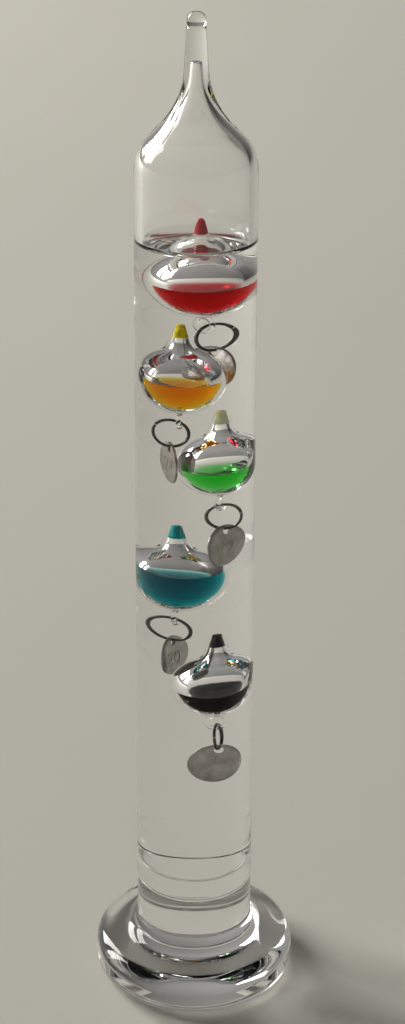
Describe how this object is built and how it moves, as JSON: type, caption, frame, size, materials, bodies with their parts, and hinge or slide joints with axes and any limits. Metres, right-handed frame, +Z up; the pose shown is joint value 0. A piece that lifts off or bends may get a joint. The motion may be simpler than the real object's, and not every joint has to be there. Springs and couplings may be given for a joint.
{
  "type": "galileo thermometer",
  "caption": "Sealed clear glass cylinder with drawn tip on a round glass foot, filled with clear liquid in which blown glass floats with coloured liquid and metal tags rise and sink.",
  "frame": {"origin": "centre of the foot's flat underside", "axes": "+Z up along the glass cylinder to the sealed tip, -Y towards the viewer"},
  "size_m": [0.062, 0.062, 0.306],
  "materials": {
    "clear_glass": "clear polished glass",
    "foot_glass": "clear polished glass",
    "fill_liquid": "clear liquid",
    "float_glass": "thin blown glass",
    "ring_metal": "dull darkened wire",
    "tag_metal": "brushed, engraved number",
    "red_dye": "dark red liquid",
    "red_seal": "coloured sealing glass",
    "amber_dye": "amber liquid",
    "amber_seal": "coloured sealing glass",
    "green_dye": "green liquid",
    "green_seal": "coloured sealing glass",
    "teal_dye": "blue-green liquid",
    "teal_seal": "coloured sealing glass",
    "black_dye": "near-black liquid",
    "black_seal": "coloured sealing glass"
  },
  "bodies": {
    "thermometer": {"tube_barrel": "clear_glass", "tube_shoulder": "clear_glass", "glass_foot": "foot_glass", "fill_liquid": "fill_liquid"},
    "red_float": {"red_bulb": "float_glass", "red_seal": "red_seal", "red_dye": "red_dye", "red_loop": "float_glass"},
    "red_jump_ring": {"red_ring": "ring_metal"},
    "red_weight": {"red_tag": "tag_metal"},
    "amber_float": {"amber_bulb": "float_glass", "amber_seal": "amber_seal", "amber_dye": "amber_dye", "amber_loop": "float_glass"},
    "amber_jump_ring": {"amber_ring": "ring_metal"},
    "amber_weight": {"amber_tag": "tag_metal"},
    "green_float": {"green_bulb": "float_glass", "green_seal": "green_seal", "green_dye": "green_dye", "green_loop": "float_glass"},
    "green_jump_ring": {"green_ring": "ring_metal"},
    "green_weight": {"green_tag": "tag_metal"},
    "teal_float": {"teal_bulb": "float_glass", "teal_seal": "teal_seal", "teal_dye": "teal_dye", "teal_loop": "float_glass"},
    "teal_jump_ring": {"teal_ring": "ring_metal"},
    "teal_weight": {"teal_tag": "tag_metal"},
    "black_float": {"black_bulb": "float_glass", "black_seal": "black_seal", "black_dye": "black_dye", "black_loop": "float_glass"},
    "black_jump_ring": {"black_ring": "ring_metal"},
    "black_weight": {"black_tag": "tag_metal"}
  },
  "joints": [
    {"name": "red_float_rise", "type": "slide", "parent": "thermometer", "child": "red_float", "axis": [0, 0, 1], "range_m": [-0.0009, 0.0006], "deforming": ["fill_liquid"]},
    {"name": "red_ring_swing", "type": "hinge", "parent": "red_float", "child": "red_jump_ring", "pos_m": [0.0015, 0.00475, 0.21346], "axis": [0.6334, 0.5906, 0.5], "range_deg": [-1, 16], "deforming": ["fill_liquid"]},
    {"name": "red_tag_swing", "type": "hinge", "parent": "red_jump_ring", "child": "red_weight", "pos_m": [0.00314, 0.00592, 0.20599], "axis": [0.7431, 0.6691, 0], "range_deg": [-5, 14], "deforming": ["fill_liquid"]},
    {"name": "amber_float_rise", "type": "slide", "parent": "thermometer", "child": "amber_float", "axis": [0, 0, 1], "range_m": [-0.0008, 0.0006], "deforming": ["fill_liquid"]},
    {"name": "amber_ring_swing", "type": "hinge", "parent": "amber_float", "child": "amber_jump_ring", "pos_m": [-0.0032, -0.003, 0.18563], "axis": [0.824, -0.2363, -0.515], "range_deg": [-11, 2], "deforming": ["fill_liquid"]},
    {"name": "amber_tag_swing", "type": "hinge", "parent": "amber_jump_ring", "child": "amber_weight", "pos_m": [-0.00547, -0.00382, 0.17832], "axis": [0.9839, -0.1785, 0], "range_deg": [-11, 6], "deforming": ["fill_liquid"]},
    {"name": "green_float_rise", "type": "slide", "parent": "thermometer", "child": "green_float", "axis": [0, 0, 1], "range_m": [-0.0015, 0.0006], "deforming": ["fill_liquid"]},
    {"name": "green_ring_swing", "type": "hinge", "parent": "green_float", "child": "green_jump_ring", "pos_m": [0.0053, -0.0012, 0.15904], "axis": [0.9633, -0.1699, 0.2079], "range_deg": [-14, 1], "deforming": ["fill_liquid"]},
    {"name": "green_tag_swing", "type": "hinge", "parent": "green_jump_ring", "child": "green_weight", "pos_m": [0.00625, -0.00053, 0.15117], "axis": [0.9884, -0.1521, 0], "range_deg": [-14, 1], "deforming": ["fill_liquid"]},
    {"name": "teal_float_rise", "type": "slide", "parent": "thermometer", "child": "teal_float", "axis": [0, 0, 1], "range_m": [-0.0025, 0.0024], "deforming": ["fill_liquid"]},
    {"name": "teal_ring_swing", "type": "hinge", "parent": "teal_float", "child": "teal_jump_ring", "pos_m": [-0.0034, 0.002, 0.12093], "axis": [0.8716, -0.3346, -0.3584], "range_deg": [-1, 16], "deforming": ["fill_liquid"]},
    {"name": "teal_tag_swing", "type": "hinge", "parent": "teal_jump_ring", "child": "teal_weight", "pos_m": [-0.00402, 0.0041, 0.11338], "axis": [0.9009, -0.4341, 0], "range_deg": [-2, 16], "deforming": ["fill_liquid"]},
    {"name": "black_float_rise", "type": "slide", "parent": "thermometer", "child": "black_float", "axis": [0, 0, 1], "range_m": [-0.0275, 0.0028], "deforming": ["fill_liquid"]},
    {"name": "black_ring_swing", "type": "hinge", "parent": "black_float", "child": "black_jump_ring", "pos_m": [0.0047, -0.0021, 0.08707], "axis": [0.0671, 0.9589, -0.2756], "range_deg": [-8, 16], "deforming": ["fill_liquid"]},
    {"name": "black_tag_swing", "type": "hinge", "parent": "black_jump_ring", "child": "black_weight", "pos_m": [0.00544, -0.00324, 0.07927], "axis": [0.0408, 0.9992, 0], "range_deg": [-14, 16], "deforming": ["fill_liquid"]}
  ]
}
